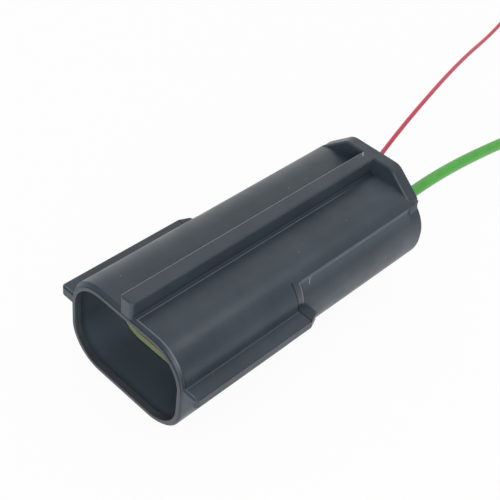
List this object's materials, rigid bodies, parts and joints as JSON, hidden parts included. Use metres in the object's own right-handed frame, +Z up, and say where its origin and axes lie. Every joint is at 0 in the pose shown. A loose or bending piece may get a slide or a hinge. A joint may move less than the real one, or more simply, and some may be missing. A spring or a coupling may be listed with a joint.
{
  "type": "sealed cable connector",
  "caption": "Rounded-rectangular sealed connector housing with key rib, side rails, stepped rear body, end flange, inner lock plate and coloured leads",
  "frame": {"origin": "under the middle of the housing, on the surface that its two underside guides rest on", "axes": "+X across the width, +Y from the open mouth to the wire end, +Z up"},
  "size_m": [0.0525, 0.1351, 0.0174],
  "materials": {
    "black_housing": "satin moulded black PBT with a faint bloom and a few fine scuffs",
    "yellow_lock": "moulded yellow PBT, satin",
    "tinned_terminal": "tin-plated copper alloy strip",
    "seal_rubber": "moulded silicone rubber, matt",
    "bare_copper": "bare annealed copper strands",
    "red_insulation": "extruded PVC insulation, red, satin",
    "green_insulation": "extruded PVC insulation, green, satin"
  },
  "bodies": {
    "housing": {"cap_housing": "black_housing", "tab_terminal_left": "tinned_terminal", "tab_terminal_right": "tinned_terminal", "wire_seal_left": "seal_rubber", "wire_seal_right": "seal_rubber", "red_conductor_crimped": "bare_copper", "green_conductor_crimped": "bare_copper", "red_wire": "red_insulation", "green_wire": "green_insulation", "red_wire_coil": "red_insulation", "green_wire_coil": "green_insulation", "red_wire_tip": "bare_copper", "green_wire_tip": "bare_copper"},
    "lock_plate": {"double_lock_plate": "yellow_lock"}
  },
  "joints": [
    {"name": "lock_plate_slide", "type": "slide", "parent": "housing", "child": "lock_plate", "axis": [0, -1, 0], "range_m": [0, 0.002]}
  ]
}
